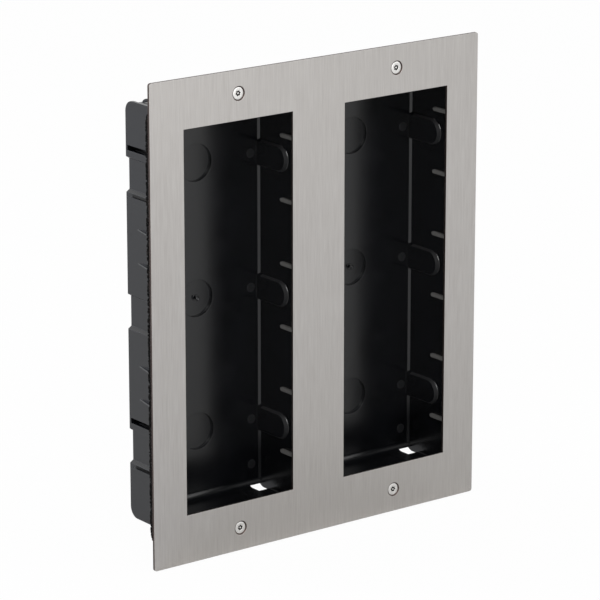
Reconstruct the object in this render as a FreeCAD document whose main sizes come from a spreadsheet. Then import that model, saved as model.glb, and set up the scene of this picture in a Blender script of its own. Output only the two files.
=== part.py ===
import FreeCAD, Part
import math
import os
import Sketcher

# A flush back box for six square modules: two moulded boxes side by side in a wall,
# behind one stainless fascia plate with two tall windows.
# X runs to the right, Y into the wall and Z up. The origin is the middle of the panel
# on the wall's surface, where the foam gasket's rear face lies.

DRIVING = {
    # fascia plate: the steel beside, between and beyond its two windows
    "panel_width": 306.0,
    "panel_height": 370.0,
    "panel_thickness": 2.0,
    "panel_corner": 2.0,
    "panel_side": 29.8,
    "panel_bar": 48.4,
    "panel_end": 37.75,
    # foam gasket
    "gasket_thickness": 4.0,
    "gasket_inset": 0.5,
    "gasket_corner": 32.0,
    "gasket_hole_clearance": 0.35,
    # moulded back box: how far it stands past its window, and its walls
    "box_side_lap": 11.3,
    "box_end_lap": 13.75,
    "box_depth": 51.5,
    "wall": 2.3,
    "back_wall": 3.0,
    "rear_radius": 8.5,
    "corner_size": 1.6,
    "flange_thickness": 2.3,
    "flange_gap": 6.8,
    "flange_end": 14.0,
    "flange_corner": 12.0,
    # recesses down the box's sides, which stand into the box as rounded bumps
    "recess_end": 56.0,
    "left_recess_height": 27.0,
    "left_recess_front": 8.6,
    "right_recess_height": 19.8,
    "right_recess_front": 12.35,
    "recess_depth": 2.8,
    "recess_draft": 34.0,
    # joining clip, left wall: a pocket above each end recess and a slot below it
    "strip_height": 5.0,
    "strip_proud": 0.4,
    "pocket_height": 3.9,
    "pocket_depth": 7.0,
    "pocket_wall": 1.2,
    "pocket_front": 5.0,
    "pocket_web": 2.0,
    "slot_lip": 0.4,
    "slot_height": 2.6,
    "slot_web": 8.0,
    # joining clip, right wall: grooves outside and a fine line inside each one
    "groove_height": 2.4,
    "groove_depth": 1.1,
    "line_spread": 16.1,
    "line_height": 0.8,
    "line_depth": 0.6,
    "line_front": 18.0,
    "line_web": 6.5,
    # gussets that brace the flange
    "gusset_spread": 12.85,
    "gusset_corner": 27.8,
    "gusset_thickness": 1.2,
    "gusset_start": 37.5,
    "gusset_margin": 1.5,
    # rods on the inside of the side walls
    "rod_height": 3.0,
    "rod_proud": 2.6,
    "rod_length": 19.0,
    # back wall
    "knockout_radius": 14.5,
    "knockout_web": 0.8,
    "gate_radius": 2.7,
    "gate_height": 0.5,
    # cable holes in the rear corners of the end walls, and ridges beside them
    "cable_hole_width": 11.5,
    "cable_hole_length": 17.5,
    "cable_hole_bite": 1.0,
    "ridge_margin": 13.5,
    "ridge_width": 1.8,
    "ridge_height": 1.3,
    "ridge_front": 12.0,
    # fascia screws and the brass inserts that they go into
    "screw_past_box": 6.4,
    "screw_radius": 2.45,
    "screw_length": 16.0,
    "head_radius": 4.65,
    "head_rim": 0.3,
    "socket_lobe_radius": 2.25,
    "socket_root_radius": 1.65,
    "socket_depth": 1.6,
    "countersink_margin": 0.95,
    "seat_clearance": 0.03,
    "hole_clearance": 0.3,
    "thread_clearance": 0.05,
    "insert_radius": 3.2,
    "insert_length": 10.0,
    "boss_radius": 6.0,
    "point_room": 1.88,
    "boss_floor": 1.5,
}

doc = FreeCAD.newDocument("flush_back_box")
sheet = doc.addObject("Spreadsheet::Sheet", "sizes")
for row, (alias, value) in enumerate(DRIVING.items(), start=1):
    sheet.set("A%d" % row, alias.replace("_", " "))
    sheet.set("B%d" % row, str(value))
    sheet.setAlias("B%d" % row, alias)
doc.recompute()


class Size:
    """A number together with the formula that gives it from the sheet."""

    def __init__(self, value, text):
        self.value = value
        self.text = text

    def __add__(self, other):
        other = as_size(other)
        return Size(self.value + other.value, "(%s + %s)" % (self.text, other.text))

    def __sub__(self, other):
        other = as_size(other)
        return Size(self.value - other.value, "(%s - %s)" % (self.text, other.text))

    def __mul__(self, factor):
        return Size(self.value * factor, "(%s * %s)" % (self.text, factor))

    def __truediv__(self, factor):
        return Size(self.value / factor, "(%s / %s)" % (self.text, factor))

    def __neg__(self):
        return Size(-self.value, "(0 - %s)" % self.text)


def as_size(number):
    if isinstance(number, Size):
        return number
    return Size(number, "%s" % number)


class Sizes:
    """The sheet's cells by name."""


dim = Sizes()
for alias, value in DRIVING.items():
    setattr(dim, alias, Size(value, "sizes." + alias))

# places that several pieces share
zero = Size(0.0, "0")
panel_front = -(dim.panel_thickness + dim.gasket_thickness)
window_width = (dim.panel_width - dim.panel_side * 2 - dim.panel_bar) / 2
window_height = dim.panel_height - dim.panel_end * 2
box_centre = (window_width + dim.panel_bar) / 2
half_box = window_width / 2 + dim.box_side_lap
half_box_end = window_height / 2 + dim.box_end_lap
half_inside = half_box - dim.wall
half_inside_end = half_box_end - dim.wall
inner_back = dim.box_depth - dim.back_wall
half_flange = box_centre - dim.flange_gap / 2
recess_pitch = half_box_end - dim.recess_end
screw_height = half_box_end + dim.screw_past_box
hole_radius = dim.screw_radius + dim.hole_clearance
countersink_radius = dim.head_radius + dim.countersink_margin
head_top = panel_front + dim.countersink_margin - dim.head_rim - dim.seat_clearance
boss_bore_length = head_top + dim.screw_length + dim.point_room

# Sketch planes: the way each plane's normal points along its own axis
NORMAL = {"XY_Plane": 1, "XZ_Plane": -1, "YZ_Plane": 1}
QUARTER = math.pi / 2


def new_body(label, x, z):
    body = doc.addObject("PartDesign::Body", label)
    body.Label = label
    body.setExpression("Placement.Base.x", x.text)
    body.setExpression("Placement.Base.z", z.text)
    return body


def new_sketch(body, name, plane, level):
    """A sketch on one of the body's origin planes, moved to a level along the plane's axis."""
    sketch = body.newObject("Sketcher::SketchObject", name)
    for feature in body.Origin.OriginFeatures:
        if feature.Role == plane:
            sketch.AttachmentSupport = [(feature, "")]
    sketch.MapMode = "FlatFace"
    offset = level * NORMAL[plane]
    sketch.setExpression("AttachmentOffset.Base.z", offset.text)
    return sketch


def bind(sketch, kind, geometry, point, size):
    """Holds a point of the sketch at a size from the sketch's origin."""
    if abs(size.value) < 1e-9:
        axis = -2 if kind == "DistanceX" else -1
        sketch.addConstraint(Sketcher.Constraint("PointOnObject", geometry, point, axis))
        return
    if size.value > 0:
        constraint = Sketcher.Constraint(kind, -1, 1, geometry, point, size.value)
        text = size.text
    else:
        constraint = Sketcher.Constraint(kind, geometry, point, -1, 1, -size.value)
        text = (-size).text
    number = sketch.addConstraint(constraint)
    sketch.setExpression("Constraints[%d]" % number, text)


def vector(x, y):
    return FreeCAD.Vector(x.value, y.value, 0)


def draw_polygon(sketch, points):
    """A closed outline of straight lines through points given as pairs of sizes."""
    first = sketch.GeometryCount
    count = len(points)
    for i, (x, y) in enumerate(points):
        next_x, next_y = points[(i + 1) % count]
        sketch.addGeometry(Part.LineSegment(vector(x, y), vector(next_x, next_y)), False)
    for i in range(count):
        following = first + (i + 1) % count
        sketch.addConstraint(Sketcher.Constraint("Coincident", first + i, 2, following, 1))
    for i, (x, y) in enumerate(points):
        bind(sketch, "DistanceX", first + i, 1, x)
        bind(sketch, "DistanceY", first + i, 1, y)


def draw_rectangle(sketch, x0, x1, y0, y1):
    draw_polygon(sketch, [(x0, y0), (x1, y0), (x1, y1), (x0, y1)])


def draw_circle(sketch, x, y, radius):
    number = sketch.GeometryCount
    circle = Part.Circle(vector(x, y), FreeCAD.Vector(0, 0, 1), radius.value)
    sketch.addGeometry(circle, False)
    bind(sketch, "DistanceX", number, 3, x)
    bind(sketch, "DistanceY", number, 3, y)
    held = sketch.addConstraint(Sketcher.Constraint("Radius", number, radius.value))
    sketch.setExpression("Constraints[%d]" % held, radius.text)


def draw_rounded(sketch, half_x, half_y, radius):
    """A rectangle about the sketch's origin with four round corners."""
    first = sketch.GeometryCount
    hx, hy, r = half_x.value, half_y.value, radius.value
    corners = [(hx - r, hy - r), (r - hx, hy - r), (r - hx, r - hy), (hx - r, r - hy)]
    for i, (x, y) in enumerate(corners):
        circle = Part.Circle(FreeCAD.Vector(x, y, 0), FreeCAD.Vector(0, 0, 1), r)
        sketch.addGeometry(Part.ArcOfCircle(circle, i * QUARTER, (i + 1) * QUARTER), False)
    for i in range(4):
        arc_end = sketch.Geometry[first + i].EndPoint
        arc_start = sketch.Geometry[first + (i + 1) % 4].StartPoint
        sketch.addGeometry(Part.LineSegment(arc_end, arc_start), False)
    for i in range(4):
        line = first + 4 + i
        sketch.addConstraint(Sketcher.Constraint("Tangent", first + i, 2, line, 1))
        sketch.addConstraint(Sketcher.Constraint("Tangent", line, 2, first + (i + 1) % 4, 1))
    for i in range(1, 4):
        sketch.addConstraint(Sketcher.Constraint("Equal", first, first + i))
    held = sketch.addConstraint(Sketcher.Constraint("Radius", first, r))
    sketch.setExpression("Constraints[%d]" % held, radius.text)
    bind(sketch, "DistanceX", first, 1, half_x)
    bind(sketch, "DistanceY", first, 2, half_y)
    bind(sketch, "DistanceX", first + 1, 2, -half_x)
    bind(sketch, "DistanceY", first + 2, 2, -half_y)
    for i, kind in enumerate(("Horizontal", "Vertical", "Horizontal", "Vertical")):
        sketch.addConstraint(Sketcher.Constraint(kind, first + 4 + i))


def draw_tongue(sketch, tip, root, middle, radius, upright=False):
    """A tongue with a half-round tip, along the sketch's x, or along its y if upright."""
    first = sketch.GeometryCount
    way = 1 if root.value > tip.value else -1
    centre = tip + radius * way
    low = middle - radius
    high = middle + radius

    def place(along, across):
        if upright:
            return FreeCAD.Vector(across.value, along.value, 0)
        return FreeCAD.Vector(along.value, across.value, 0)

    # the arc runs anticlockwise, so which of its ends is the high one depends on its side
    start = {(False, 1): 1, (False, -1): -1, (True, 1): 2, (True, -1): 0}[(upright, way)]
    circle = Part.Circle(place(centre, middle), FreeCAD.Vector(0, 0, 1), radius.value)
    sketch.addGeometry(Part.ArcOfCircle(circle, start * QUARTER, (start + 2) * QUARTER), False)
    sketch.addGeometry(Part.LineSegment(place(centre, high), place(root, high)), False)
    sketch.addGeometry(Part.LineSegment(place(root, high), place(root, low)), False)
    sketch.addGeometry(Part.LineSegment(place(root, low), place(centre, low)), False)
    at_high, at_low = (1, 2) if (way == 1) != upright else (2, 1)
    along, across = ("DistanceY", "DistanceX") if upright else ("DistanceX", "DistanceY")
    sketch.addConstraint(Sketcher.Constraint("Coincident", first, at_high, first + 1, 1))
    sketch.addConstraint(Sketcher.Constraint("Coincident", first + 1, 2, first + 2, 1))
    sketch.addConstraint(Sketcher.Constraint("Coincident", first + 2, 2, first + 3, 1))
    sketch.addConstraint(Sketcher.Constraint("Coincident", first + 3, 2, first, at_low))
    bind(sketch, along, first, 3, centre)
    bind(sketch, across, first, 3, middle)
    bind(sketch, along, first + 1, 1, centre)
    bind(sketch, across, first + 1, 1, high)
    bind(sketch, along, first + 2, 1, root)
    bind(sketch, across, first + 2, 1, high)
    bind(sketch, along, first + 2, 2, root)
    bind(sketch, across, first + 2, 2, low)
    bind(sketch, along, first, at_low, centre)


def turned_points(x, y, reach, start, stop, step):
    """Points on a circle of the given reach, from one angle in degrees to another."""
    points = []
    for angle in range(start, stop, step):
        turn = math.radians(angle)
        points.append((x + reach * round(math.cos(turn), 6), y + reach * round(math.sin(turn), 6)))
    return points


def draw_stub(sketch, tip, root, middle, half):
    """A tongue along the sketch's x whose round tip is drawn in short straight steps."""
    points = turned_points(tip + half, middle, half, 90, 271, 10)
    draw_polygon(sketch, points + [(root, middle - half), (root, middle + half)])


def raise_from(sketch, name, length, way=1):
    """Adds the sketch's outline as solid, by a length, the given way along its axis."""
    body = sketch.getParentGeoFeatureGroup()
    feature = body.newObject("PartDesign::Pad", name)
    feature.Profile = sketch
    feature.setExpression("Length", length.text)
    plane = sketch.AttachmentSupport[0][0].Role
    feature.Reversed = NORMAL[plane] != way
    feature.Refine = False
    return feature


def cut_from(sketch, name, length, way=1):
    """Cuts the sketch's outline away, by a length, the given way along its axis."""
    body = sketch.getParentGeoFeatureGroup()
    feature = body.newObject("PartDesign::Pocket", name)
    feature.Profile = sketch
    feature.setExpression("Length", length.text)
    plane = sketch.AttachmentSupport[0][0].Role
    feature.Reversed = NORMAL[plane] == way
    feature.Refine = False
    return feature


def round_edges(body, name, edges, radius):
    """Rounds the edges of the body's last feature that the test picks."""
    doc.recompute()
    base = body.Tip
    picked = []
    for number, edge in enumerate(base.Shape.Edges, start=1):
        if edges(edge.BoundBox):
            picked.append("Edge%d" % number)
    fillet = body.newObject("PartDesign::Fillet", name)
    fillet.Base = (base, picked)
    fillet.setExpression("Radius", radius.text)
    return fillet


def make_fascia():
    body = new_body("fascia_plate", zero, zero)
    outline = new_sketch(body, "fascia_outline", "XZ_Plane", panel_front)
    draw_rounded(outline, dim.panel_width / 2, dim.panel_height / 2, dim.panel_corner)
    for side in (-1, 1):
        middle = box_centre * side
        half = window_width / 2
        draw_rectangle(outline, middle - half, middle + half, -(window_height / 2), window_height / 2)
    raise_from(outline, "fascia_sheet", dim.panel_thickness)
    for side in (-1, 1):
        for end in (-1, 1):
            make_countersink(body, box_centre * side, screw_height * end)
    return body


def make_countersink(body, x, z):
    """A hole with a full 90 degree countersink in the fascia's front."""
    cone = body.newObject("PartDesign::SubtractiveCone", "countersink")
    for feature in body.Origin.OriginFeatures:
        if feature.Role == "XZ_Plane":
            cone.AttachmentSupport = [(feature, "")]
    cone.MapMode = "FlatFace"
    depth = countersink_radius - hole_radius
    cone.setExpression("Radius1", hole_radius.text)
    cone.setExpression("Radius2", countersink_radius.text)
    cone.setExpression("Height", depth.text)
    cone.setExpression("AttachmentOffset.Base.x", x.text)
    cone.setExpression("AttachmentOffset.Base.y", z.text)
    cone.setExpression("AttachmentOffset.Base.z", (-(panel_front + depth)).text)
    hole = new_sketch(body, "screw_hole_place", "XZ_Plane", panel_front)
    draw_circle(hole, x, z, hole_radius)
    cut_from(hole, "screw_hole", dim.panel_thickness)


def make_gasket():
    body = new_body("foam_gasket", zero, zero)
    outline = new_sketch(body, "gasket_outline", "XZ_Plane", -dim.gasket_thickness)
    draw_rounded(outline, dim.panel_width / 2 - dim.gasket_inset,
                 dim.panel_height / 2 - dim.gasket_inset, dim.gasket_corner)
    for side in (-1, 1):
        middle = box_centre * side
        draw_rectangle(outline, middle - half_inside, middle + half_inside,
                       -half_inside_end, half_inside_end)
        for end in (-1, 1):
            draw_circle(outline, middle, screw_height * end,
                        dim.head_radius + dim.gasket_hole_clearance)
    raise_from(outline, "gasket_sheet", dim.gasket_thickness)
    return body


def make_back_box(label, x):
    """One moulded box: an open tray with a flange, recessed sides and knockouts."""
    body = new_body(label, x, zero)
    make_tray(body)
    make_flange(body)
    make_gussets(body)
    make_bosses(body)
    make_end_walls(body)
    make_back_wall(body)
    make_side_recesses(body)
    make_rods(body)
    make_clip_pockets(body)
    make_clip_grooves(body)
    return body


def make_tray(body):
    depth = dim.box_depth.value
    outside = new_sketch(body, "tray_outline", "XZ_Plane", zero)
    draw_rectangle(outside, -half_box, half_box, -half_box_end, half_box_end)
    raise_from(outside, "tray_block", dim.box_depth)

    def along_x(box):
        return box.ZMax - box.ZMin < 0.01 and box.XMax - box.XMin > 1.0

    round_edges(body, "tray_rear_edges", lambda box: along_x(box) and box.YMin > depth - 0.01,
                dim.rear_radius)
    inside = new_sketch(body, "tray_inside", "XZ_Plane", zero)
    draw_rectangle(inside, -half_inside, half_inside, -half_inside_end, half_inside_end)
    cut_from(inside, "tray_hollow", inner_back)
    floor = inner_back.value
    reach = half_inside_end.value + 0.01

    def is_inner_rear(box):
        return along_x(box) and abs(box.YMin - floor) < 0.01 and abs(box.ZMin) < reach

    round_edges(body, "tray_inner_edges", is_inner_rear, dim.rear_radius - dim.wall)
    strips = new_sketch(body, "corner_strip_outline", "XY_Plane", -half_inside_end)
    for side in (-1, 1):
        wall_face = half_inside * side
        buried = (half_inside + dim.wall / 2) * side
        started = (half_inside - dim.corner_size) * side
        draw_polygon(strips, [(wall_face, inner_back - dim.corner_size), (started, inner_back),
                              (started, inner_back + dim.back_wall / 2),
                              (buried, inner_back + dim.back_wall / 2),
                              (buried, inner_back - dim.corner_size)])
    raise_from(strips, "corner_strips", half_inside_end * 2)


def make_flange(body):
    ring = new_sketch(body, "flange_outline", "XZ_Plane", zero)
    draw_rounded(ring, half_flange, half_box_end + dim.flange_end, dim.flange_corner)
    draw_rectangle(ring, -half_inside, half_inside, -half_inside_end, half_inside_end)
    raise_from(ring, "flange", dim.flange_thickness)


def make_side_recesses(body):
    """Three recesses a side, open at the rear, with drafted sides and an even wall round each."""
    walls = ((-1, dim.left_recess_height / 2, dim.left_recess_front),
             (1, dim.right_recess_height / 2, dim.right_recess_front))
    for side, half, front in walls:
        bump = new_sketch(body, "bump_outline", "YZ_Plane", (half_box - dim.wall / 2) * side)
        for place in (-1, 0, 1):
            draw_stub(bump, front - dim.wall * 0.75, dim.box_depth - dim.knockout_web / 2,
                      recess_pitch * place, half + dim.wall * 0.75)
        raised = raise_from(bump, "bump", dim.recess_depth + dim.wall / 2, -side)
        raised.setExpression("TaperAngle", (-dim.recess_draft).text)
    for side, half, front in walls:
        recess = new_sketch(body, "recess_outline", "YZ_Plane", half_box * side)
        for place in (-1, 0, 1):
            draw_stub(recess, front, dim.box_depth + dim.wall * 2, recess_pitch * place, half)
        sunk = cut_from(recess, "recess", dim.recess_depth, -side)
        sunk.setExpression("TaperAngle", (-dim.recess_draft).text)


def make_clip_pockets(body):
    """The left wall's half of the joining clip, at both end recesses."""
    half = dim.left_recess_height / 2
    rear = dim.box_depth - dim.pocket_web
    strips = new_sketch(body, "strip_outline", "YZ_Plane", -(half_box - dim.wall / 2))
    housings = new_sketch(body, "housing_outline", "YZ_Plane", -(half_inside + dim.wall / 2))
    pockets = new_sketch(body, "pocket_outline", "YZ_Plane", -(half_box + dim.strip_proud))
    slots = new_sketch(body, "slot_outline", "YZ_Plane", -(half_box + dim.strip_proud))
    for place in (-1, 1):
        top = recess_pitch * place + half
        low = recess_pitch * place - half
        pocket = top + dim.strip_height
        slot = low - dim.slot_lip - dim.slot_height
        draw_rectangle(strips, dim.flange_thickness, rear, top, pocket)
        draw_rectangle(strips, dim.flange_thickness, rear, slot - dim.strip_height, slot)
        draw_rectangle(housings, dim.pocket_front, inner_back + dim.wall / 2, pocket - dim.pocket_wall,
                       pocket + dim.pocket_height + dim.pocket_wall)
        draw_rectangle(pockets, dim.pocket_front + dim.pocket_wall, rear, pocket,
                       pocket + dim.pocket_height)
        draw_rectangle(slots, dim.pocket_front, dim.box_depth - dim.slot_web, slot,
                       slot + dim.slot_height)
    raise_from(strips, "strips", dim.wall / 2 + dim.strip_proud, -1)
    raise_from(housings, "pocket_housings", dim.pocket_depth + dim.pocket_wall - dim.wall / 2, 1)
    cut_from(pockets, "pockets", dim.strip_proud + dim.pocket_depth, 1)
    cut_from(slots, "slots", dim.strip_proud + dim.wall * 1.5, 1)


def make_clip_grooves(body):
    """The right wall's half: shallow grooves outside and a fine line cut inside each one."""
    lines = new_sketch(body, "line_outline", "YZ_Plane", half_inside)
    grooves = new_sketch(body, "groove_outline", "YZ_Plane", half_box)
    rear = dim.box_depth - dim.line_web
    for place in (-1, 1):
        middle = recess_pitch * place
        above = middle + dim.right_recess_height / 2 + dim.strip_height
        below = middle - dim.right_recess_height / 2 - dim.slot_lip - dim.slot_height
        draw_rectangle(grooves, dim.pocket_front, rear, above, above + dim.groove_height)
        draw_rectangle(grooves, dim.pocket_front, rear, below, below + dim.groove_height)
        for level in (middle + dim.line_spread, middle - dim.line_spread):
            draw_rectangle(lines, dim.line_front, rear, level, level + dim.line_height)
    cut_from(grooves, "grooves", dim.groove_depth, -1)
    cut_from(lines, "lines", dim.line_depth, 1)


def make_rods(body):
    """Six round-ended rods down the inside of each side wall, from the front edge."""
    pitch = half_box_end * 2 / 6.5
    for side in (-1, 1):
        rods = new_sketch(body, "rod_outline", "YZ_Plane", (half_box - dim.wall / 2) * side)
        for step in (-2.5, -1.5, -0.5, 0.5, 1.5, 2.5):
            middle = pitch * step
            half = dim.rod_height / 2
            tip = turned_points(dim.rod_length - half, middle, half, -90, 91, 30)
            draw_polygon(rods, tip + [(zero, middle + half), (zero, middle - half)])
        raise_from(rods, "rods", dim.wall / 2 + dim.rod_proud, -side)


def make_gussets(body):
    """Thin three-cornered webs from the walls to the back of the flange."""
    root = dim.flange_thickness / 2
    rise = half_flange - half_box - dim.gusset_margin
    inner = recess_pitch / 2 - dim.gusset_spread
    outer = recess_pitch / 2 + dim.gusset_spread
    for level in (-outer, -inner, inner, outer):
        web = new_sketch(body, "side_gusset_outline", "XY_Plane", level - dim.gusset_thickness / 2)
        for side in (-1, 1):
            buried = (half_box - dim.wall / 2) * side
            crest = (half_box + rise) * side
            edge = half_box * side
            draw_polygon(web, [(buried, root), (crest, root), (edge, dim.gusset_start),
                               (buried, dim.gusset_start)])
        raise_from(web, "side_gussets", dim.gusset_thickness)
    for place in (dim.gusset_corner - half_box, half_box - dim.gusset_corner):
        web = new_sketch(body, "end_gusset_outline", "YZ_Plane", place - dim.gusset_thickness / 2)
        for end in (-1, 1):
            buried = (half_box_end - dim.wall / 2) * end
            crest = (half_box_end + rise) * end
            edge = half_box_end * end
            draw_polygon(web, [(root, buried), (root, crest), (dim.gusset_start, edge),
                               (dim.gusset_start, buried)])
        raise_from(web, "end_gussets", dim.gusset_thickness)


def make_back_wall(body):
    """Round knockouts, and the moulding gate in the middle one."""
    knockouts = new_sketch(body, "knockout_outline", "XZ_Plane", inner_back)
    for place in (-1, 0, 1):
        draw_circle(knockouts, zero, recess_pitch * place, dim.knockout_radius)
    cut_from(knockouts, "knockouts", dim.back_wall - dim.knockout_web)
    web = dim.box_depth - dim.knockout_web
    gate = new_sketch(body, "gate_outline", "XZ_Plane", web + dim.gate_height)
    draw_polygon(gate, turned_points(zero, zero, dim.gate_radius, 0, 360, 30))
    raise_from(gate, "gate", dim.gate_height * 2, -1)


def make_end_walls(body):
    """Cable holes in the four rear corners, and low ridges along both end walls."""
    for end in (-1, 1):
        holes = new_sketch(body, "cable_hole_outline", "XY_Plane",
                           (half_inside_end - dim.cable_hole_bite) * end)
        for side in (-1, 1):
            outer = half_inside * side
            inner = (half_inside - dim.cable_hole_width) * side
            draw_rectangle(holes, inner, outer, dim.box_depth - dim.cable_hole_length,
                           dim.box_depth + dim.wall)
        cut_from(holes, "cable_holes", dim.wall * 2 + dim.cable_hole_bite, end)
    ridges = new_sketch(body, "ridge_outline", "XZ_Plane", dim.ridge_front)
    for side in (-1, 1):
        for end in (-1, 1):
            middle = (half_inside - dim.cable_hole_width - dim.ridge_margin) * side
            draw_rectangle(ridges, middle - dim.ridge_width / 2, middle + dim.ridge_width / 2,
                           (half_inside_end - dim.ridge_height) * end,
                           (half_inside_end + dim.wall / 2) * end)
    raise_from(ridges, "ridges", inner_back + dim.wall / 2 - dim.ridge_front)


def copy_body(label, source, x, z):
    """A second moulding from the same tool, in a place of its own."""
    body = doc.addObject("PartDesign::Body", label)
    body.Label = label
    body.setExpression("Placement.Base.x", x.text)
    body.setExpression("Placement.Base.z", z.text)
    moulding = doc.addObject("PartDesign::FeatureBase", "same_moulding")
    moulding.BaseFeature = source
    body.Group = [moulding]
    body.Tip = moulding
    return body


def make_bosses(body):
    """A boss behind the flange at each end, bored for a threaded insert."""
    bosses = new_sketch(body, "boss_outline", "XZ_Plane", zero)
    for end in (-1, 1):
        draw_tongue(bosses, (screw_height + dim.boss_radius) * end,
                    (half_box_end - dim.wall / 2) * end, zero, dim.boss_radius, upright=True)
    raise_from(bosses, "bosses", boss_bore_length + dim.boss_floor)
    bores = new_sketch(body, "boss_bore_outline", "XZ_Plane", zero)
    for end in (-1, 1):
        draw_circle(bores, zero, screw_height * end, dim.insert_radius)
    cut_from(bores, "boss_bores", boss_bore_length)


def make_screw(label, x, z):
    """A countersunk screw with a six-pointed socket, along Y."""
    body = new_body(label, x, z)
    profile = new_sketch(body, "screw_profile", "XY_Plane", zero)
    tip = head_top + dim.screw_length
    cone_top = head_top + dim.head_rim
    cone_end = cone_top + dim.head_radius - dim.screw_radius
    draw_polygon(profile, [(zero, head_top), (dim.head_radius, head_top), (dim.head_radius, cone_top),
                           (dim.screw_radius, cone_end), (dim.screw_radius, tip), (zero, tip)])
    turned = body.newObject("PartDesign::Revolution", "screw_turned")
    turned.Profile = profile
    turned.ReferenceAxis = (profile, ["V_Axis"])
    turned.Angle = 360.0
    socket = new_sketch(body, "socket_outline", "XZ_Plane", head_top)
    corners = []
    for i in range(12):
        reach = dim.socket_lobe_radius if i % 2 == 0 else dim.socket_root_radius
        turn = math.radians(30 * i)
        corners.append((reach * round(math.cos(turn), 6), reach * round(math.sin(turn), 6)))
    draw_polygon(socket, corners)
    cut_from(socket, "socket", dim.socket_depth)
    return body


def make_insert(label, x, z):
    """A brass bush, bored for the screw, in the boss behind the flange."""
    body = new_body(label, x, z)
    ring = new_sketch(body, "insert_outline", "XZ_Plane", zero)
    draw_circle(ring, zero, zero, dim.insert_radius)
    draw_circle(ring, zero, zero, dim.screw_radius + dim.thread_clearance)
    raise_from(ring, "insert_bush", dim.insert_length)
    return body


left_box = make_back_box("back_box_left", -box_centre)
right_box = copy_body("back_box_right", left_box, box_centre, zero)
pieces = [make_fascia(), make_gasket(), left_box, right_box]
for side_name, side in (("left", -1), ("right", 1)):
    for end_name, end in (("top", 1), ("bottom", -1)):
        place = (box_centre * side, screw_height * end)
        pieces.append(make_screw("fascia_screw_%s_%s" % (end_name, side_name), *place))
        pieces.append(make_insert("threaded_insert_%s_%s" % (end_name, side_name), *place))
doc.recompute()

for item in doc.Objects:
    if "Invalid" in item.State or "Error" in item.State:
        raise RuntimeError("%s is %s" % (item.Name, item.State))
for piece in pieces:
    shape = piece.Shape
    if shape.isNull() or not shape.isValid() or len(shape.Solids) != 1:
        raise RuntimeError("%s has no single valid solid" % piece.Label)

os.makedirs("parts", exist_ok=True)
for piece in pieces:
    piece.Shape.exportStep("parts/%s.step" % piece.Label)
    print("%-30s %10.1f mm3" % (piece.Label, piece.Shape.Volume))
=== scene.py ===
import math

import bmesh
import bpy
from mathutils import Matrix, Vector, noise


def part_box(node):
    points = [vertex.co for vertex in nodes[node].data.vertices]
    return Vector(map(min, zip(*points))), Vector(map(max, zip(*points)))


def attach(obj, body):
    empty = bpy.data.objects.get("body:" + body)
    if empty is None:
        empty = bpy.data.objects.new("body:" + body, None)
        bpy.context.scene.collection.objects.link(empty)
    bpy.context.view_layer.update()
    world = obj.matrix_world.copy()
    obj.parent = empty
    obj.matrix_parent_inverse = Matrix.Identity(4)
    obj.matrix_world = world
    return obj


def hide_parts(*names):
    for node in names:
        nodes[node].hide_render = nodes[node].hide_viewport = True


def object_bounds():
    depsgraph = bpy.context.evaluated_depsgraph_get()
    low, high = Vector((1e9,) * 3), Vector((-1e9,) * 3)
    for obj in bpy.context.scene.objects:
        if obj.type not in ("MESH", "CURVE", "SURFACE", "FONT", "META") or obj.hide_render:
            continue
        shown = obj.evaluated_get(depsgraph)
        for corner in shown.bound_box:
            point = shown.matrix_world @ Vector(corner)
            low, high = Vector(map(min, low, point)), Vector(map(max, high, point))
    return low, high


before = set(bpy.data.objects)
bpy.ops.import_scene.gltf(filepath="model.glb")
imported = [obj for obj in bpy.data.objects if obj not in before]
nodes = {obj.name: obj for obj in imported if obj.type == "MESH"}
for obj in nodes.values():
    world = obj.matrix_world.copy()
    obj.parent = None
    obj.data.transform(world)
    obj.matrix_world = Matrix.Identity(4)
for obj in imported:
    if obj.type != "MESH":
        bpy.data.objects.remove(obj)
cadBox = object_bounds()
mm = 0.001
boxCentre = 73.7  # mm, from the panel's middle to the middle of each box
print("frame loaded:", len(nodes), "nodes")


def linearColour(hexValue):  # an sRGB hex value as linear RGBA
    channels = [int(hexValue[i:i + 2], 16) / 255 for i in (1, 3, 5)]
    return [c / 12.92 if c <= 0.04045 else ((c + 0.055) / 1.055) ** 2.4 for c in channels] + [1.0]


def addNode(tree, kind, settings=None, inputs=None):  # a node with its settings, values and links
    node = tree.nodes.new(kind)
    for name, value in (settings or {}).items():
        setattr(node, name, value)
    for name, value in (inputs or {}).items():
        if isinstance(value, bpy.types.NodeSocket):
            tree.links.new(value, node.inputs[name])
        else:
            node.inputs[name].default_value = value
    return node


def newMaterial(name):  # an empty node tree with its output
    material = bpy.data.materials.new(name)
    material.use_nodes = True
    tree = material.node_tree
    tree.nodes.clear()
    output = addNode(tree, "ShaderNodeOutputMaterial")
    return material, tree, output


def stretchedPlace(tree, acrossX, acrossY, acrossZ):  # object coordinates, in pattern lengths
    place = addNode(tree, "ShaderNodeTexCoord")
    return addNode(tree, "ShaderNodeMapping", {"vector_type": "POINT"}, {
        "Vector": place.outputs["Object"],
        "Scale": (1 / (acrossX * mm), 1 / (acrossY * mm), 1 / (acrossZ * mm))})


def between(tree, value, low, high):  # 1 where a length lies between two values in mm, else 0
    above = addNode(tree, "ShaderNodeMath", {"operation": "GREATER_THAN"}, {0: value, 1: low * mm})
    below = addNode(tree, "ShaderNodeMath", {"operation": "LESS_THAN"}, {0: value, 1: high * mm})
    return addNode(tree, "ShaderNodeMath", {"operation": "MULTIPLY"}, {
        0: above.outputs[0], 1: below.outputs[0]}).outputs[0]


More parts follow.
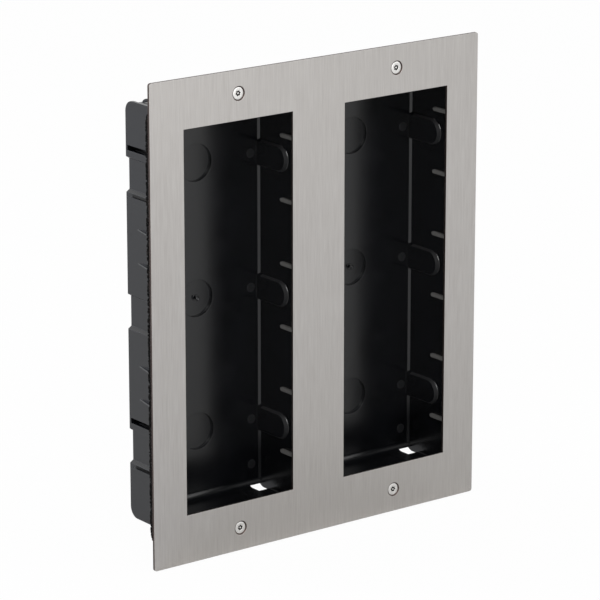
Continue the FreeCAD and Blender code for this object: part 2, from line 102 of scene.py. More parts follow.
brushedStainless = {
    "dark": "#b6b2af", "light": "#c4c1be",  # warm grey 304 sheet, nearly even
    "cutEdgeAndShade": "#544945",  # punched edges and countersinks, unbrushed and brownish, darkened further with painted shade for the shadowed gap round the screw heads
    "cutFront": -5.96, "cutRear": -4.02, "cutRough": 0.5,  # mm; they lie between the brushed faces
    "grainWidth": 0.85, "grainLength": 24.0,  # mm; 240 grit is near 0.1 mm, drawn coarser to show
    "strokeWidth": 2.2, "strokeLength": 110.0, "strokeShare": 0.25,  # mm; the belt's slower streaks
    "noiseLow": 0.3, "noiseHigh": 0.7,  # the part of the noise's range that is used
    "roughLow": 0.28, "roughHigh": 0.36, "anisotropy": 0.6,
    "bumpHeight": 0.003, "edgeRadius": 0.25,  # mm
}


def makeBrushedStainless():  # rolled sheet brushed top to bottom: a soft sideways spread of light
    want = brushedStainless
    material, tree, output = newMaterial("brushedStainless")
    grainPlace = stretchedPlace(tree, want["grainWidth"], want["grainWidth"], want["grainLength"])
    grain = addNode(tree, "ShaderNodeTexNoise", {"noise_dimensions": "3D"}, {
        "Vector": grainPlace.outputs[0], "Scale": 1.0, "Detail": 2.0, "Roughness": 0.6})
    strokePlace = stretchedPlace(
        tree, want["strokeWidth"], want["strokeWidth"], want["strokeLength"])
    stroke = addNode(tree, "ShaderNodeTexNoise", {"noise_dimensions": "3D"}, {
        "Vector": strokePlace.outputs[0], "Scale": 1.0, "Detail": 2.0})
    both = addNode(tree, "ShaderNodeMix", {"data_type": "FLOAT"}, {
        "Factor": want["strokeShare"], 2: grain.outputs[0], 3: stroke.outputs[0]})
    spread = addNode(tree, "ShaderNodeMapRange", None, {
        "Value": both.outputs[0], "From Min": want["noiseLow"], "From Max": want["noiseHigh"]})
    sheet = addNode(tree, "ShaderNodeMix", {"data_type": "RGBA"}, {
        "Factor": spread.outputs[0], 6: linearColour(want["dark"]), 7: linearColour(want["light"])})
    sheetRough = addNode(tree, "ShaderNodeMapRange", None, {
        "Value": grain.outputs[0], "From Min": want["noiseLow"], "From Max": want["noiseHigh"],
        "To Min": want["roughLow"], "To Max": want["roughHigh"]})
    place = addNode(tree, "ShaderNodeTexCoord")
    along = addNode(tree, "ShaderNodeSeparateXYZ", None, {0: place.outputs["Object"]})
    cut = between(tree, along.outputs["Y"], want["cutFront"], want["cutRear"])
    # painted shade: the cut faces and countersinks between the brushed faces take a darker colour
    colour = addNode(tree, "ShaderNodeMix", {"data_type": "RGBA"}, {
        "Factor": cut, 6: sheet.outputs[2], 7: linearColour(want["cutEdgeAndShade"])})
    rough = addNode(tree, "ShaderNodeMix", {"data_type": "FLOAT"}, {
        "Factor": cut, 2: sheetRough.outputs[0], 3: want["cutRough"]})
    edge = addNode(tree, "ShaderNodeBevel", {"samples": 6}, {"Radius": want["edgeRadius"] * mm})
    bump = addNode(tree, "ShaderNodeBump", None, {
        "Height": grain.outputs[0], "Distance": want["bumpHeight"] * mm, "Normal": edge.outputs[0]})
    acrossGrain = addNode(tree, "ShaderNodeCombineXYZ", None, {"X": 1.0, "Y": 0.0, "Z": 0.0})
    steel = addNode(tree, "ShaderNodeBsdfPrincipled", None, {
        "Base Color": colour.outputs[2], "Metallic": 1.0, "Roughness": rough.outputs[0],
        "Anisotropic": want["anisotropy"], "Normal": bump.outputs[0],
        "Tangent": acrossGrain.outputs[0]})
    tree.links.new(steel.outputs[0], output.inputs["Surface"])
    return material


mouldedPolystyrene = {
    "dark": "#050608", "light": "#090a0e",  # black high-impact polystyrene, from a polished tool
    "ior": 1.55, "roughLow": 0.22, "roughHigh": 0.27,
    "noiseLow": 0.35, "noiseHigh": 0.65,  # the part of the noise's range that is used
    "patchSize": 26.0, "rippleSize": 9.0, "rippleHeight": 0.006,  # mm; the melt cooled unevenly
    "dustSize": 0.9, "dustShare": 0.35,  # mm; dust is near 0.1 mm, drawn coarser to show
    "edgeRadius": 0.35, "mouth": 0.2,  # mm; the marks below start this far behind the wall's face
    "flankTop": 55.75, "flankFoot": 57.95, "flankDepth": 44.0,  # mm from a box's middle, and deep
    "flankRough": 0.75,  # the bumps' flanks keep the tool's spark-eroded finish
    "rodPitch": 49.54, "rodHalf": 1.65, "rodLength": 19.4, "rodRound": 1.2,  # mm
    "rodPaintedLight": "#6a6967", "rodRough": 0.55,  # the rods are painted pale as a painted highlight, and matt
    "scoreRadius": 14.5, "scoreWidth": 0.7, "scoreDepth": 0.3, "scorePitch": 105.0,  # mm
    "scorePaintedHighlight": "#262729", "rearFrom": 51.4, "rearTo": 51.6,  # mm; rings round the knockouts, painted lighter than the wall as a painted highlight on their rims
}


def makeMouldedPolystyrene():  # injection moulded: broken reflections, light lines along its edges
    want = mouldedPolystyrene
    material, tree, output = newMaterial("mouldedPolystyrene")
    patchPlace = stretchedPlace(tree, want["patchSize"], want["patchSize"], want["patchSize"])
    patch = addNode(tree, "ShaderNodeTexNoise", None, {
        "Vector": patchPlace.outputs[0], "Scale": 1.0, "Detail": 3.0})
    dustPlace = stretchedPlace(tree, want["dustSize"], want["dustSize"], want["dustSize"])
    dust = addNode(tree, "ShaderNodeTexNoise", None, {
        "Vector": dustPlace.outputs[0], "Scale": 1.0, "Detail": 2.0})
    blend = addNode(tree, "ShaderNodeMix", {"data_type": "FLOAT"}, {
        "Factor": want["dustShare"], 2: patch.outputs[0], 3: dust.outputs[0]})
    spread = addNode(tree, "ShaderNodeMapRange", None, {
        "Value": blend.outputs[0], "From Min": want["noiseLow"], "From Max": want["noiseHigh"]})
    wallColour = addNode(tree, "ShaderNodeMix", {"data_type": "RGBA"}, {
        "Factor": spread.outputs[0], 6: linearColour(want["dark"]), 7: linearColour(want["light"])})
    wallRough = addNode(tree, "ShaderNodeMapRange", None, {
        "Value": blend.outputs[0], "From Min": want["noiseLow"], "From Max": want["noiseHigh"],
        "To Min": want["roughLow"], "To Max": want["roughHigh"]})

    place = addNode(tree, "ShaderNodeTexCoord")
    at = addNode(tree, "ShaderNodeSeparateXYZ", None, {0: place.outputs["Object"]})
    fromPanel = addNode(tree, "ShaderNodeMath", {"operation": "ABSOLUTE"}, {0: at.outputs["X"]})
    fromBox = addNode(tree, "ShaderNodeMath", {"operation": "SUBTRACT"}, {
        0: fromPanel.outputs[0], 1: boxCentre * mm})
    fromBox = addNode(tree, "ShaderNodeMath", {"operation": "ABSOLUTE"}, {0: fromBox.outputs[0]})
    flank = addNode(tree, "ShaderNodeMath", {"operation": "MULTIPLY"}, {
        0: between(tree, fromBox.outputs[0], want["flankTop"], want["flankFoot"]),
        1: between(tree, at.outputs["Y"], want["mouth"], want["flankDepth"])})
    height = addNode(tree, "ShaderNodeMath", {"operation": "ABSOLUTE"}, {0: at.outputs["Z"]})
    height = addNode(tree, "ShaderNodeMath", {"operation": "MODULO"}, {
        0: height.outputs[0], 1: want["rodPitch"] * mm})
    height = addNode(tree, "ShaderNodeMath", {"operation": "SUBTRACT"}, {
        0: height.outputs[0], 1: want["rodPitch"] / 2 * mm})
    rod = addNode(tree, "ShaderNodeMath", {"operation": "MULTIPLY"}, {
        0: between(tree, height.outputs[0], -want["rodHalf"], want["rodHalf"]),
        1: between(tree, at.outputs["Y"], want["mouth"], want["rodLength"])})
    rod = addNode(tree, "ShaderNodeMath", {"operation": "MULTIPLY"}, {
        0: rod.outputs[0], 1: flank.outputs[0]})
    flankRough = addNode(tree, "ShaderNodeMix", {"data_type": "FLOAT"}, {
        "Factor": flank.outputs[0], 2: wallRough.outputs[0], 3: want["flankRough"]})
    rough = addNode(tree, "ShaderNodeMix", {"data_type": "FLOAT"}, {
        "Factor": rod.outputs[0], 2: flankRough.outputs[0], 3: want["rodRough"]})
    fold = addNode(tree, "ShaderNodeMath", {"operation": "ABSOLUTE"}, {0: at.outputs["Z"]})
    fold = addNode(tree, "ShaderNodeMath", {"operation": "PINGPONG"}, {
        0: fold.outputs[0], 1: want["scorePitch"] / 2 * mm})
    spot = addNode(tree, "ShaderNodeCombineXYZ", None, {
        "X": fromBox.outputs[0], "Y": fold.outputs[0]})
    reach = addNode(tree, "ShaderNodeVectorMath", {"operation": "LENGTH"}, {0: spot.outputs[0]})
    inner = want["scoreRadius"] - want["scoreWidth"] / 2
    score = addNode(tree, "ShaderNodeMath", {"operation": "MULTIPLY"}, {
        0: between(tree, reach.outputs["Value"], inner, inner + want["scoreWidth"]),
        1: between(tree, at.outputs["Y"], want["rearFrom"], want["rearTo"])})
    # painted highlight: the rods on the inner walls take a pale grey colour
    colour = addNode(tree, "ShaderNodeMix", {"data_type": "RGBA"}, {
        "Factor": rod.outputs[0], 6: wallColour.outputs[2], 7: linearColour(want["rodPaintedLight"])})
    # painted highlight: a lighter ring round each knockout
    colour = addNode(tree, "ShaderNodeMix", {"data_type": "RGBA"}, {
        "Factor": score.outputs[0], 6: colour.outputs[2], 7: linearColour(want["scorePaintedHighlight"])})

    ripplePlace = stretchedPlace(tree, want["rippleSize"], want["rippleSize"], want["rippleSize"])
    ripple = addNode(tree, "ShaderNodeTexNoise", None, {
        "Vector": ripplePlace.outputs[0], "Scale": 1.0, "Detail": 1.0})
    softness = addNode(tree, "ShaderNodeMix", {"data_type": "FLOAT"}, {
        "Factor": rod.outputs[0], 2: want["edgeRadius"] * mm, 3: want["rodRound"] * mm})
    edge = addNode(tree, "ShaderNodeBevel", {"samples": 6}, {"Radius": softness.outputs[0]})
    bump = addNode(tree, "ShaderNodeBump", None, {
        "Height": ripple.outputs[0], "Distance": want["rippleHeight"] * mm,
        "Normal": edge.outputs[0]})
    bump = addNode(tree, "ShaderNodeBump", {"invert": True}, {
        "Height": score.outputs[0], "Distance": want["scoreDepth"] * mm, "Normal": bump.outputs[0]})
    plastic = addNode(tree, "ShaderNodeBsdfPrincipled", None, {
        "Base Color": colour.outputs[2], "Roughness": rough.outputs[0], "IOR": want["ior"],
        "Normal": bump.outputs[0]})
    tree.links.new(plastic.outputs[0], output.inputs["Surface"])
    return material


sparkErodedPolystyrene = {
    "dark": "#131415", "light": "#1c1d1f", "rough": 0.42, "ior": 1.55,  # off unpolished steel
    "grainSize": 0.35, "grainHeight": 0.012,  # mm; its pits are near 0.05 mm, drawn coarser to show
}


def makeSparkErodedPolystyrene():  # moulded against ejector pins and gates: satin, a little paler
    want = sparkErodedPolystyrene
    material, tree, output = newMaterial("sparkErodedPolystyrene")
    place = stretchedPlace(tree, want["grainSize"], want["grainSize"], want["grainSize"])
    grain = addNode(tree, "ShaderNodeTexNoise", None, {
        "Vector": place.outputs[0], "Scale": 1.0, "Detail": 2.0})
    colour = addNode(tree, "ShaderNodeMix", {"data_type": "RGBA"}, {
        "Factor": grain.outputs[0], 6: linearColour(want["dark"]), 7: linearColour(want["light"])})
    bump = addNode(tree, "ShaderNodeBump", None, {
        "Height": grain.outputs[0], "Distance": want["grainHeight"] * mm})
    plastic = addNode(tree, "ShaderNodeBsdfPrincipled", None, {
        "Base Color": colour.outputs[2], "Roughness": want["rough"], "IOR": want["ior"],
        "Normal": bump.outputs[0]})
    tree.links.new(plastic.outputs[0], output.inputs["Surface"])
    return material


cutFoam = {
    "dark": "#030303", "light": "#1e1917",  # carbon black sponge, cut cells browner in the light
    "cellSize": 1.1, "cellDepth": 0.5, "cellSoftness": 0.4,  # mm; cells near 0.5 mm, drawn coarser
    "patchScale": 0.35, "noiseLow": 0.4, "noiseHigh": 0.7,  # patches three cells wide
    "rough": 0.95, "ior": 1.3,
}


def makeCutFoam():  # die-cut sponge: matt, torn open cells along the cut edge
    want = cutFoam
    material, tree, output = newMaterial("cutFoam")
    cellPlace = stretchedPlace(tree, want["cellSize"], want["cellSize"], want["cellSize"])
    cells = addNode(tree, "ShaderNodeTexVoronoi", {"feature": "SMOOTH_F1"}, {
        "Vector": cellPlace.outputs[0], "Scale": 1.0, "Smoothness": want["cellSoftness"]})
    patch = addNode(tree, "ShaderNodeTexNoise", None, {
        "Vector": cellPlace.outputs[0], "Scale": want["patchScale"], "Detail": 4.0})
    tone = addNode(tree, "ShaderNodeMapRange", None, {
        "Value": patch.outputs[0], "From Min": want["noiseLow"], "From Max": want["noiseHigh"]})
    colour = addNode(tree, "ShaderNodeMix", {"data_type": "RGBA"}, {
        "Factor": tone.outputs[0], 6: linearColour(want["dark"]), 7: linearColour(want["light"])})
    bump = addNode(tree, "ShaderNodeBump", None, {
        "Height": cells.outputs["Distance"], "Distance": want["cellDepth"] * mm})
    foam = addNode(tree, "ShaderNodeBsdfPrincipled", None, {
        "Base Color": colour.outputs[2], "Roughness": want["rough"], "IOR": want["ior"],
        "Normal": bump.outputs[0]})
    tree.links.new(foam.outputs[0], output.inputs["Surface"])
    return material


turnedStainless = {
    "dark": "#dddbd8", "light": "#f4f3f1",  # A2 steel, brighter than the sheet because it is turned
    "socket": "#35312f",  # the driver's socket and the head's underside are darkened with painted shade
    "faceDepth": 0.14, "socketDepth": 2.2,  # mm below the head's face
    "speckSize": 0.9, "noiseLow": 0.3, "noiseHigh": 0.7,  # mm; fine turning marks, drawn coarser
    "roughLow": 0.24, "roughHigh": 0.34, "bumpHeight": 0.004,  # mm
}


def makeTurnedStainless(headTop):  # cold headed and turned: a bright face round a socket darkened with painted shade
    want = turnedStainless
    material, tree, output = newMaterial("turnedStainless")
    specks = stretchedPlace(tree, want["speckSize"], want["speckSize"], want["speckSize"])
    speck = addNode(tree, "ShaderNodeTexNoise", None, {
        "Vector": specks.outputs[0], "Scale": 1.0, "Detail": 3.0})
    tone = addNode(tree, "ShaderNodeMapRange", None, {
        "Value": speck.outputs[0], "From Min": want["noiseLow"], "From Max": want["noiseHigh"]})
    bare = addNode(tree, "ShaderNodeMix", {"data_type": "RGBA"}, {
        "Factor": tone.outputs[0], 6: linearColour(want["dark"]), 7: linearColour(want["light"])})
    place = addNode(tree, "ShaderNodeTexCoord")
    along = addNode(tree, "ShaderNodeSeparateXYZ", None, {0: place.outputs["Object"]})
    sunkShade = between(
        tree, along.outputs["Y"], headTop + want["faceDepth"], headTop + want["socketDepth"])
    # painted shade: the socket and the head's underside take a dark colour
    colour = addNode(tree, "ShaderNodeMix", {"data_type": "RGBA"}, {
        "Factor": sunkShade, 6: bare.outputs[2], 7: linearColour(want["socket"])})
    rough = addNode(tree, "ShaderNodeMapRange", None, {
        "Value": speck.outputs[0], "To Min": want["roughLow"], "To Max": want["roughHigh"]})
    bump = addNode(tree, "ShaderNodeBump", None, {
        "Height": speck.outputs[0], "Distance": want["bumpHeight"] * mm})
    steel = addNode(tree, "ShaderNodeBsdfPrincipled", None, {
        "Base Color": colour.outputs[2], "Metallic": 1.0, "Roughness": rough.outputs[0],
        "Normal": bump.outputs[0]})
    tree.links.new(steel.outputs[0], output.inputs["Surface"])
    return material


machinedBrass = {
    "dark": "#a3823f", "light": "#c9a961", "rough": 0.3,  # free-cutting brass bar
    "speckSize": 0.8,  # mm; light stains
}


def makeMachinedBrass():  # turned on a bar lathe: warm, evenly bright, slightly stained
    want = machinedBrass
    material, tree, output = newMaterial("machinedBrass")
    place = stretchedPlace(tree, want["speckSize"], want["speckSize"], want["speckSize"])
    speck = addNode(tree, "ShaderNodeTexNoise", None, {
        "Vector": place.outputs[0], "Scale": 1.0, "Detail": 3.0})
    colour = addNode(tree, "ShaderNodeMix", {"data_type": "RGBA"}, {
        "Factor": speck.outputs[0], 6: linearColour(want["dark"]), 7: linearColour(want["light"])})
    brass = addNode(tree, "ShaderNodeBsdfPrincipled", None, {
        "Base Color": colour.outputs[2], "Metallic": 1.0, "Roughness": want["rough"]})
    tree.links.new(brass.outputs[0], output.inputs["Surface"])
    return material


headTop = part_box("fascia_screw_top_left")[0].y / mm
materials = {
    "steel": makeBrushedStainless(), "plastic": makeMouldedPolystyrene(),
    "mattPlastic": makeSparkErodedPolystyrene(), "foam": makeCutFoam(),
    "screw": makeTurnedStainless(headTop), "brass": makeMachinedBrass(),
}
print("materials made:", len(materials))


def dress(obj, material):  # one material all over
    obj.data.materials.clear()
    obj.data.materials.append(material)


def addPiece(name, mesh, material):  # a new piece that rides with the whole part
    piece = bpy.data.objects.new(name, mesh)
    bpy.context.scene.collection.objects.link(piece)
    dress(piece, material)
    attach(piece, "root")
    return piece


def smooth(mesh, degrees):  # round where faces meet gently, crisp where they meet sharply
    mesh.polygons.foreach_set("use_smooth", [True] * len(mesh.polygons))
    mesh.set_sharp_from_angle(angle=math.radians(degrees))


nodeFinish = {
    "fascia_plate": "steel", "foam_gasket": "foam", "back_box": "plastic",
    "fascia_screw": "screw", "threaded_insert": "brass",
}

for nodeName, node in nodes.items():
    for start, finish in nodeFinish.items():
        if nodeName.startswith(start):
            dress(node, materials[finish])
print("frame dressed")

fasciaScrew = {
    "headRadius": 4.65, "rim": 0.3, "shankRadius": 2.45, "length": 16.0,  # mm, M5 countersunk
    "faceRadius": 3.1, "edgeWidth": 0.25,  # mm; the head's flat face and its rounded edge
    "lobeRadius": 1.95, "lobeShare": 0.17, "socketDepth": 1.6,  # a six-lobe socket
    "pinRadius": 0.82, "pinDrop": 0.1,  # mm; the security pin in its middle
    "pitch": 0.8, "threadDepth": 0.42, "plainNeck": 3.2, "tipLength": 0.8,  # mm, M5 coarse thread
    "around": 48,
    "turns": {"top_left": 8, "top_right": 37, "bottom_left": 21, "bottom_right": 52},  # degrees
}


def makeScrewMesh(name, centre, top, turn):  # rings on one axis: pin, socket, head, thread
    want = fasciaScrew
    lobe, head, shank = want["lobeRadius"], want["headRadius"], want["shankRadius"]
    pin, deep = want["pinRadius"], want["socketDepth"]
    neck = want["rim"] + head - shank
    rings = [  # radius, depth below the face, share of the six lobes, share of the thread
        (pin * 0.75, want["pinDrop"], 0, 0), (pin, want["pinDrop"] + 0.12, 0, 0), (pin, deep, 0, 0),
        (lobe * 0.93, deep, 1, 0), (lobe * 0.96, 0.2, 1, 0), (lobe * 1.06, 0.0, 1, 0),
        (want["faceRadius"], 0.0, 0, 0), (head - want["edgeWidth"], 0.0, 0, 0),
        (head - 0.06, 0.07, 0, 0), (head, 0.2, 0, 0), (head, want["rim"], 0, 0),
        (shank, neck, 0, 0), (shank, want["plainNeck"], 0, 0)]
    tip = want["length"] - want["tipLength"]
    depth = want["plainNeck"] + want["pitch"]
    while depth < tip - 0.1:
        rings.append((shank, depth, 0, 1))
        depth += want["pitch"] / 4
    rings += [(shank - want["threadDepth"], tip, 0, 0),
              (shank - want["threadDepth"] * 1.8, want["length"], 0, 0)]
    around = want["around"]
    points = []
    for radius, depth, lobes, thread in rings:
        for i in range(around):
            angle = 2 * math.pi * i / around
            r = radius * (1 + lobes * want["lobeShare"] * math.cos(6 * angle))
            if thread:
                phase = (depth / want["pitch"] - i / around) % 1
                r -= want["threadDepth"] * (1 - abs(2 * phase - 1))
            a = angle + math.radians(turn)
            points.append(((centre.x / mm + r * math.cos(a)) * mm, (top + depth) * mm,
                           (centre.z / mm + r * math.sin(a)) * mm))
    faces = [tuple(range(around))]
    for row in range(len(rings) - 1):
        for i in range(around):
            a, b = row * around + i, row * around + (i + 1) % around
            faces.append((a, a + around, b + around, b))
    faces.append(tuple(range(len(points) - 1, len(points) - around - 1, -1)))
    mesh = bpy.data.meshes.new(name)
    mesh.from_pydata(points, [], faces)
    smooth(mesh, 32)
    return mesh


for place, turn in fasciaScrew["turns"].items():
    nodeName = "fascia_screw_" + place
    low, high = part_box(nodeName)
    mesh = makeScrewMesh("screw_" + place, (low + high) / 2, headTop, turn)
    screw = addPiece("screw_" + place, mesh, materials["screw"])
    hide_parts(nodeName)
print("screws made:", len(fasciaScrew["turns"]))

foamGasket = {
    "step": 0.7, "rows": 5, "ragged": 0.8, "lumpSize": 0.95,  # mm; torn cells along the cut edge
    "lumps": 2.6, "crumbs": 1.3, "crumbScale": 2.3,  # how strongly large and small cells tear
    "proud": 0.45,  # mm; at most this far out, so the strip stays behind the plate's edge
    "rimTorn": 0.6,  # how much of the tear the rear rim loses too
    "topInset": 1.1,  # mm; the strip along the top is cut a little short of the plate
    "smallHole": 40.0, "smallRagged": 0.08,  # mm round a screw hole, which stays clear of the shank
}


def outlineLoops(source, level):  # the closed outlines of a flat solid's face at one level
    work = bmesh.new()
    work.from_mesh(source)
    bmesh.ops.remove_doubles(work, verts=work.verts, dist=1e-6)
    work.normal_update()
    joined = {}
    for edge in work.edges:
        flat = [abs(face.normal.y) > 0.9 for face in edge.link_faces]
        onLevel = all(abs(v.co.y - level) < 1e-5 for v in edge.verts)
        if onLevel and len(flat) == 2 and flat.count(True) == 1:
            a, b = edge.verts
            joined.setdefault(a.index, []).append(b.index)
            joined.setdefault(b.index, []).append(a.index)
    spots = {v.index: (v.co.x, v.co.z) for v in work.verts}
    work.free()
    loops = []
    while joined:
        start = next(iter(joined))
        loop, previous, here = [start], None, start
        while True:
            onward = [n for n in joined[here] if n != previous]
            if not onward or onward[0] == start:
                break
            previous, here = here, onward[0]
            loop.append(here)
        for index in loop:
            joined.pop(index, None)
        loops.append([spots[index] for index in loop])
    return loops


def evenSteps(loop, step):  # the same outline walked in equal steps
    ends = loop[1:] + loop[:1]
    lengths = [math.dist(a, b) for a, b in zip(loop, ends)]
    total = sum(lengths)
    count = max(12, round(total / step))
    points, side, covered = [], 0, 0.0
    for i in range(count):
        goal = total * i / count
        while covered + lengths[side] < goal:
            covered += lengths[side]
            side += 1
        share = (goal - covered) / lengths[side]
        a, b = loop[side], ends[side]
        points.append((a[0] + (b[0] - a[0]) * share, a[1] + (b[1] - a[1]) * share))
    return points, total


def makeGasketMesh():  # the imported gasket's outline, cut again with a torn, ragged edge
    want = foamGasket
    low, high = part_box("foam_gasket")
    work = bmesh.new()
    caps = {0: [], want["rows"]: []}
    for loop in outlineLoops(nodes["foam_gasket"].data, high.y):
        points, total = evenSteps(loop, want["step"] * mm)
        ragged = want["smallRagged"] if total < want["smallHole"] * mm else want["ragged"]
        rows = []
        for row in range(want["rows"] + 1):
            y = low.y + (high.y - low.y) * row / want["rows"]
            ring = []
            for i, (x, z) in enumerate(points):
                before, after = points[i - 1], points[(i + 1) % len(points)]
                outward = Vector((after[1] - before[1], 0, before[0] - after[0])).normalized()
                spot = Vector((x, y, min(z, high.z - want["topInset"] * mm)))
                lump = spot / (want["lumpSize"] * mm)
                tear = want["lumps"] * noise.noise(lump)
                tear += want["crumbs"] * noise.noise(lump * want["crumbScale"])
                tear = max(-1, min(1, tear)) * ragged * mm
                spot += outward * min(tear, want["proud"] * mm)
                if row == want["rows"]:
                    spot.y -= abs(tear) * want["rimTorn"]
                ring.append(work.verts.new(spot))
            rows.append(ring)
        for near, far in zip(rows, rows[1:]):
            for i in range(len(near)):
                j = (i + 1) % len(near)
                work.faces.new((near[i], near[j], far[j], far[i]))
        for row in caps:
            ring = rows[row]
            caps[row] += [work.edges.get(ends) for ends in zip(ring, ring[1:] + ring[:1])]
    for edges in caps.values():
        bmesh.ops.triangle_fill(
            work, use_beauty=True, use_dissolve=False, edges=edges, normal=(0, 1, 0))
    bmesh.ops.recalc_face_normals(work, faces=work.faces)
    mesh = bpy.data.meshes.new("raggedGasket")
    work.to_mesh(mesh)
    work.free()
    return mesh


gasket = addPiece("raggedGasket", makeGasketMesh(), materials["foam"])
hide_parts("foam_gasket")
print("gasket cut:", len(gasket.data.polygons), "faces")

mouldMarks = {
    "backFace": 48.5,  # mm; the boxes' back walls, seen from inside
    "pinRadius": 3.7, "pinProud": 0.07, "pinBevel": 0.12, "pinRim": 0.5, "pinSides": 40,
    "pinAcross": 50.5, "pinHeights": (-141.5, -105.0, 0.0, 105.0, 141.5),
    "gateFace": 48.0, "gateRadius": 1.7, "gateHeight": 0.55, "gateTear": 0.4, "gateSides": 22,
}


def addDisc(work, x, z, rings, around, tear=0.0):  # rings of radius and level, the top closed
    rows = []
    for radius, level in rings:
        row = []
        for i in range(around):
            angle = 2 * math.pi * i / around
            across, up = radius * math.cos(angle), radius * math.sin(angle)
            lift = tear * noise.noise(Vector((x + across * 2, z, up * 2)))
            spot = Vector((x + across, level - abs(lift), z + up)) * mm
            row.append(work.verts.new(spot))
        rows.append(row)
    for outer, inner in zip(rows, rows[1:]):
        for i in range(around):
            j = (i + 1) % around
            work.faces.new((outer[i], outer[j], inner[j], inner[i]))
    work.faces.new(rows[-1])


def makeMouldMarks():  # ejector pin discs and torn gates on the two back walls
    want = mouldMarks
    pins, gates = bmesh.new(), bmesh.new()
    pin, back = want["pinRadius"], want["backFace"]
    top = back - want["pinProud"]
    pinRings = [(pin, back), (pin - want["pinBevel"], top), (pin - want["pinRim"], top)]
    gate, face, height = want["gateRadius"], want["gateFace"], want["gateHeight"]
    gateRings = [  # up to a torn rim, then down into its middle
        (gate, face), (gate * 0.86, face - height * 0.7), (gate * 0.62, face - height),
        (gate * 0.45, face - height * 0.5), (gate * 0.3, face - 0.1)]
    for middle in (-boxCentre, boxCentre):
        for side in (-1, 1):
            for z in want["pinHeights"]:
                addDisc(pins, middle + side * want["pinAcross"], z, pinRings, want["pinSides"])
        addDisc(gates, middle, 0.0, gateRings, want["gateSides"], want["gateTear"])
    made = (("ejectorMarks", pins, "mattPlastic"), ("tornGates", gates, "plastic"))
    for name, work, material in made:
        bmesh.ops.recalc_face_normals(work, faces=work.faces)
        mesh = bpy.data.meshes.new(name)
        work.to_mesh(mesh)
        work.free()
        smooth(mesh, 25)
        addPiece(name, mesh, materials[material])


makeMouldMarks()
print("mould marks made")

camera = {
    "azimuth": 37.2, "tilt": 15.9,  # degrees to the left of square on, and above the level
    "distance": 2.62, "target": (-17.7, -6.0, 1.5),  # m, and mm in the part's frame
    "lens": 209.6, "sensor": 36.0,  # mm
}


def makeCamera():  # from the left and above, through a long lens
    want = camera
    turn, tilt = math.radians(want["azimuth"]), math.radians(want["tilt"])
    level = math.cos(tilt)
    forward = Vector((math.sin(turn) * level, math.cos(turn) * level, -math.sin(tilt)))
    data = bpy.data.cameras.new("camera")
    data.lens = want["lens"]
    data.sensor_width = want["sensor"]
    data.clip_start, data.clip_end = 0.01, 100
    obj = bpy.data.objects.new("camera", data)
    bpy.context.scene.collection.objects.link(obj)
    obj.location = Vector(want["target"]) * mm - forward * want["distance"]
    obj.rotation_mode = "QUATERNION"
    obj.rotation_quaternion = forward.to_track_quat("-Z", "Y")
    bpy.context.scene.camera = obj


studio = {
    "worldLight": 0.62, "worldSeen": 1.0,  # what it lights with, and what shows and mirrors
    "floorDrop": 1.0, "floorSize": 12.0, "floorColour": "#e9e9e8", "floorWhite": 0.97,  # mm, m
    "softBoxes": [  # place in m, size in m, power in W
        {"name": "keyLight", "place": (-1.6, -2.2, 2.0), "size": 1.6,
         "power": 38.0, "colour": "#ffffff"},
        {"name": "fillLight", "place": (2.4, -1.8, 1.2), "size": 1.8,
         "power": 12.0, "colour": "#ffffff"},
        {"name": "backLight", "place": (-1.8, 1.8, 1.6), "size": 1.6,
         "power": 24.0, "colour": "#e2e9ff"},
        {"name": "lowLight", "place": (0.35, -1.7, 0.15), "size": 1.0,
         "power": 3.2, "colour": "#ffffff"},
    ],
}


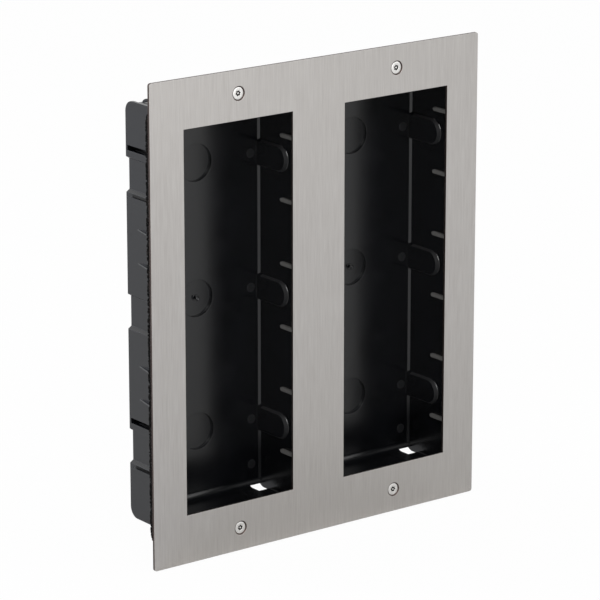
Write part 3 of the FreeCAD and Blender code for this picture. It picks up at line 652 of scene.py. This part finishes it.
def makeStudio():  # an even white world and four soft boxes
    want = studio
    world = bpy.data.worlds.new("studio")
    world.use_nodes = True
    bpy.context.scene.world = world
    tree = world.node_tree
    tree.nodes.clear()
    path = addNode(tree, "ShaderNodeLightPath")
    seen = addNode(tree, "ShaderNodeMath", {"operation": "MAXIMUM"}, {
        0: path.outputs["Is Camera Ray"], 1: path.outputs["Is Glossy Ray"]})
    seen = addNode(tree, "ShaderNodeMath", {"operation": "MAXIMUM"}, {
        0: seen.outputs[0], 1: path.outputs["Is Transmission Ray"]})
    strength = addNode(tree, "ShaderNodeMapRange", None, {
        "Value": seen.outputs[0], "To Min": want["worldLight"], "To Max": want["worldSeen"]})
    light = addNode(tree, "ShaderNodeBackground", None, {
        "Color": linearColour("#ffffff"), "Strength": strength.outputs[0]})
    output = addNode(tree, "ShaderNodeOutputWorld", None, {"Surface": light.outputs[0]})
    for box in want["softBoxes"]:
        data = bpy.data.lights.new(box["name"], "AREA")
        data.shape = "SQUARE"
        data.size = box["size"]
        data.energy = box["power"]
        data.color = linearColour(box["colour"])[:3]
        obj = bpy.data.objects.new(box["name"], data)
        bpy.context.scene.collection.objects.link(obj)
        obj.location = box["place"]
        obj.rotation_mode = "QUATERNION"
        obj.rotation_quaternion = (-Vector(box["place"])).to_track_quat("-Z", "Y")
        obj.visible_camera = False


def makeFloor():  # pale floor, seen nearly white, that keeps a soft shadow
    want = studio
    material, tree, output = newMaterial("paintedFloor")
    path = addNode(tree, "ShaderNodeLightPath")
    matt = addNode(tree, "ShaderNodeBsdfDiffuse", None, {
        "Color": linearColour(want["floorColour"])})
    white = addNode(tree, "ShaderNodeEmission", None, {
        "Color": linearColour("#ffffff"), "Strength": 1.0})
    share = addNode(tree, "ShaderNodeMath", {"operation": "MULTIPLY"}, {
        0: path.outputs["Is Camera Ray"], 1: want["floorWhite"]})
    mixed = addNode(tree, "ShaderNodeMixShader", None, {
        0: share.outputs[0], 1: matt.outputs[0], 2: white.outputs[0]})
    tree.links.new(mixed.outputs[0], output.inputs["Surface"])
    mesh = bpy.data.meshes.new("floor")
    half = want["floorSize"] / 2
    level = cadBox[0].z - want["floorDrop"] * mm
    corners = [(-half, -half, level), (half, -half, level),
               (half, half, level), (-half, half, level)]
    mesh.from_pydata(corners, [], [(0, 1, 2, 3)])
    floor = bpy.data.objects.new("floor", mesh)
    bpy.context.scene.collection.objects.link(floor)
    dress(floor, material)


makeCamera()
makeStudio()
makeFloor()
bpy.context.scene.view_settings.view_transform = "Standard"
print("camera, lights and floor made")
